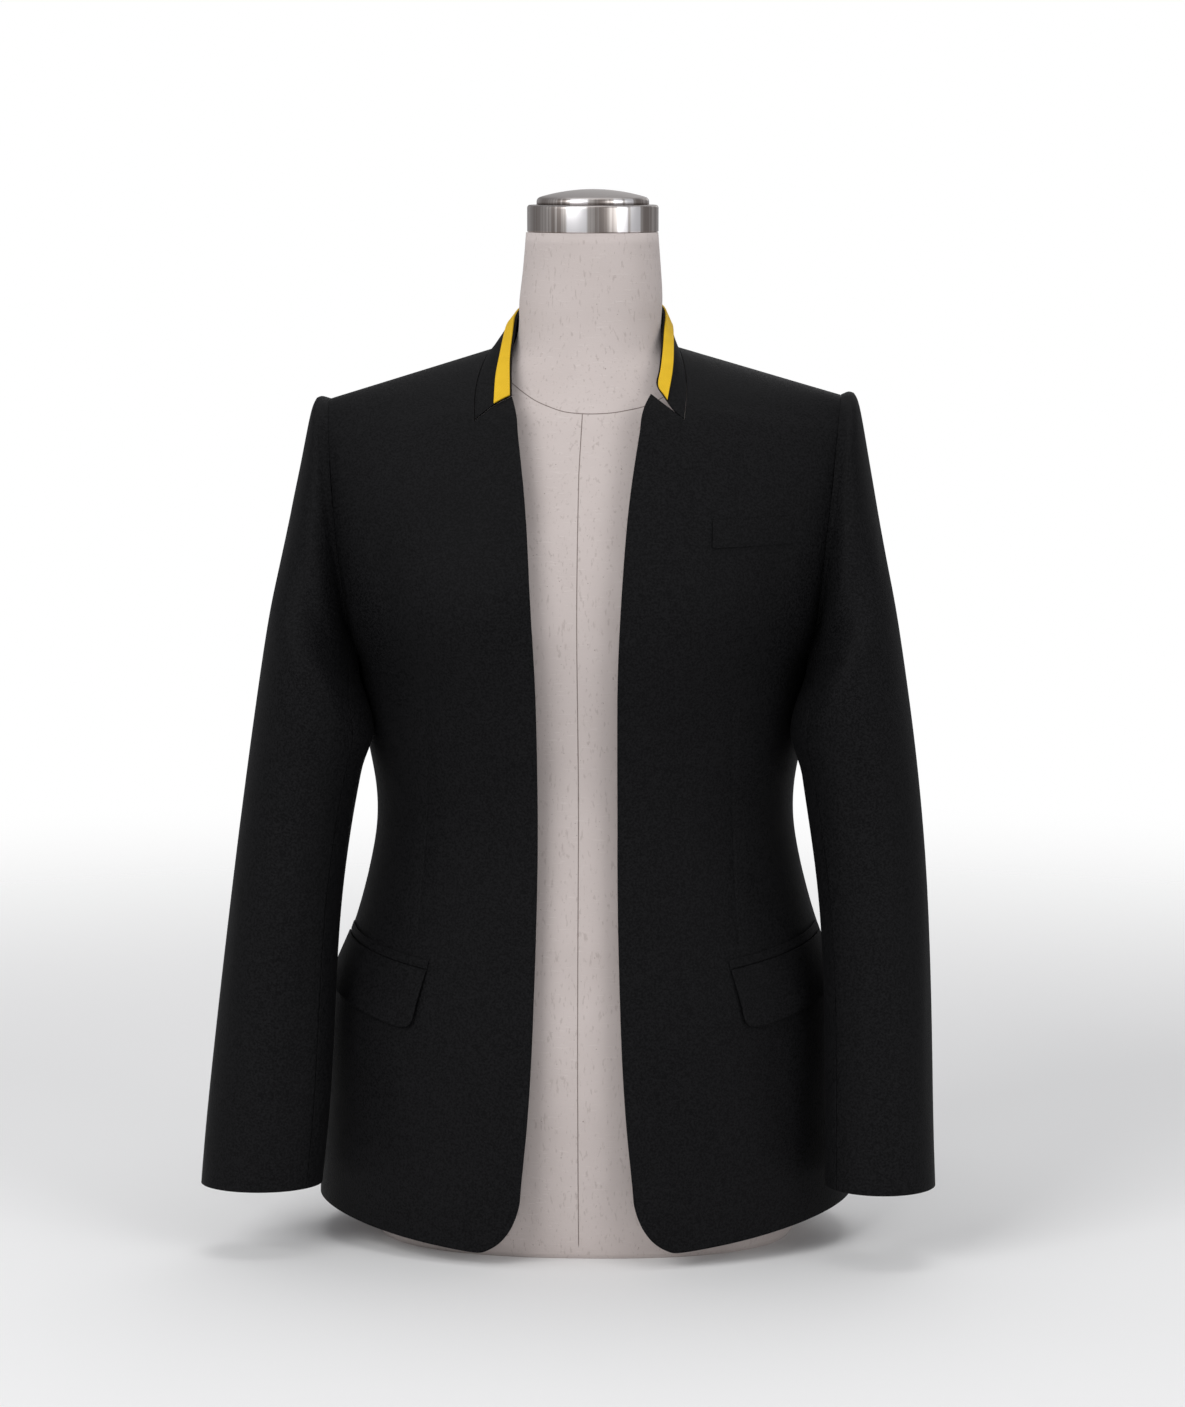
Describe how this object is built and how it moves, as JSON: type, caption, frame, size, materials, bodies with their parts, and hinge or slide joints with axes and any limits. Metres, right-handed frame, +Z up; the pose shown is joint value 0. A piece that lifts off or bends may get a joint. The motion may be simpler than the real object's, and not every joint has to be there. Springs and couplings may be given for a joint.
{
  "type": "collarless blazer on a dress form",
  "caption": "Tailored open blazer with a low stand band, notched at the neck, a yellow strip, slanted flap pockets and long sleeves, standing on a limbless dress form with a steel cap.",
  "frame": {"origin": "middle of the form's flat underside", "axes": "+Z up, the front faces -Y, +X to the wearer's left"},
  "size_m": [0.5614, 0.2761, 0.8086],
  "materials": {
    "black_suiting": "smooth fine twill with a low sheen",
    "yellow_ribbon": "close woven ribbon, satin",
    "linen_cover": "plain weave linen, matt, with darker flecks",
    "brushed_steel": "turned and polished"
  },
  "bodies": {
    "root": {"front_left": "black_suiting", "front_right": "black_suiting", "back_left": "black_suiting", "back_right": "black_suiting", "top_sleeve_left": "black_suiting", "under_sleeve_left": "black_suiting", "top_sleeve_right": "black_suiting", "under_sleeve_right": "black_suiting", "collar_band": "black_suiting", "collar_strip": "yellow_ribbon", "hip_flap_left": "black_suiting", "hip_jet_left": "black_suiting", "hip_flap_right": "black_suiting", "hip_jet_right": "black_suiting", "breast_welt": "black_suiting", "form_torso": "linen_cover", "cap_band": "brushed_steel", "cap_disc": "brushed_steel"}
  },
  "joints": []
}
